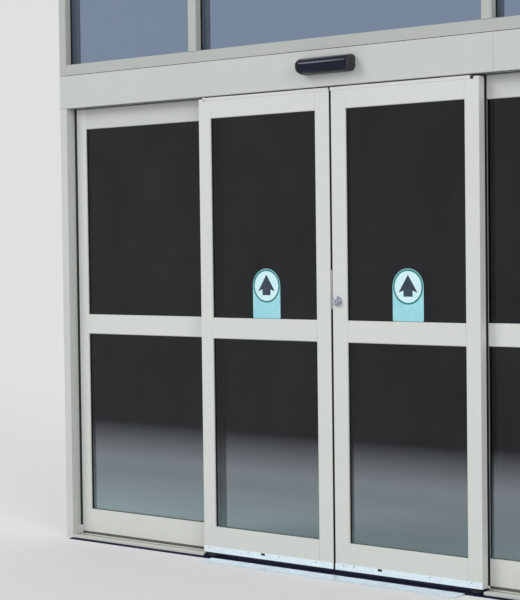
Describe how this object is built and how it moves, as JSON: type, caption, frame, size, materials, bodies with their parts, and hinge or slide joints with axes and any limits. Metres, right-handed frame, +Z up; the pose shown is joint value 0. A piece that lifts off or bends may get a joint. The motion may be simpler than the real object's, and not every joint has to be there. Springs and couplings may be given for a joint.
{
  "type": "automatic sliding door",
  "caption": "Bi-parting automatic sliding door: glazed leaves on rollers in a powered header, fixed sidelites, transom light, presence sensors and low threshold.",
  "frame": {"origin": "on the floor, at the middle of the doorway and of the frame's depth, on the underside of the threshold", "axes": "+X to the right as seen from outside, +Y into the building, +Z up"},
  "size_m": [3.38, 0.318, 2.958],
  "materials": {
    "painted_frame": "satin light bone paint on extruded aluminium",
    "clear_glass": "clear toughened glass",
    "mill_aluminium": "bright mill aluminium",
    "dark_aluminium": "dark anodised",
    "zinc_steel": "zinc plated",
    "nickel": "satin nickel",
    "nylon": "black nylon",
    "black_plastic": "gloss black",
    "black_rubber": "matt"
  },
  "bodies": {
    "frame": {"left_jamb": "painted_frame", "right_jamb": "painted_frame", "header_housing": "painted_frame", "header_cover_main": "painted_frame", "header_cover_right": "painted_frame", "header_end_caps": "painted_frame", "transom_sill": "painted_frame", "transom_head": "painted_frame", "transom_posts": "painted_frame", "transom_glass": "clear_glass", "entrance_sensor": "black_plastic", "interior_sensor": "black_plastic", "left_sidelite_nose_stile": "painted_frame", "left_sidelite_outer_stile": "painted_frame", "left_sidelite_top_rail": "painted_frame", "left_sidelite_mid_rail": "painted_frame", "left_sidelite_bottom_rail": "painted_frame", "left_sidelite_glass": "clear_glass", "right_sidelite_nose_stile": "painted_frame", "right_sidelite_outer_stile": "painted_frame", "right_sidelite_top_rail": "painted_frame", "right_sidelite_mid_rail": "painted_frame", "right_sidelite_bottom_rail": "painted_frame", "right_sidelite_glass": "clear_glass", "sidelite_seals": "black_rubber", "sidelite_sills": "painted_frame", "threshold": "dark_aluminium", "ramp_plate": "mill_aluminium", "floor_guides": "nylon"},
    "left_leaf": {"left_leaf_lead_stile": "painted_frame", "left_leaf_trail_stile": "painted_frame", "left_leaf_top_rail": "painted_frame", "left_leaf_mid_rail": "painted_frame", "left_leaf_bottom_rail": "painted_frame", "left_leaf_glass": "clear_glass", "left_leaf_hangers": "zinc_steel", "left_leaf_rollers": "nylon", "left_leaf_bottom_strip": "mill_aluminium", "left_leaf_meeting_seal": "black_rubber"},
    "right_leaf": {"right_leaf_lead_stile": "painted_frame", "right_leaf_trail_stile": "painted_frame", "right_leaf_top_rail": "painted_frame", "right_leaf_mid_rail": "painted_frame", "right_leaf_bottom_rail": "painted_frame", "right_leaf_glass": "clear_glass", "right_leaf_hangers": "zinc_steel", "right_leaf_rollers": "nylon", "right_leaf_bottom_strip": "mill_aluminium", "right_leaf_meeting_seal": "black_rubber", "right_leaf_lock_cylinder": "nickel"}
  },
  "joints": [
    {"name": "right_leaf_slide", "type": "slide", "parent": "frame", "child": "right_leaf", "axis": [1, 0, 0], "range_m": [0, 0.69]},
    {"name": "left_leaf_slide", "type": "slide", "parent": "frame", "child": "left_leaf", "axis": [-1, 0, 0], "range_m": [0, 0.69]}
  ],
  "couplings": [
    {"joint": "left_leaf_slide", "follows": "right_leaf_slide", "ratio": 1}
  ]
}
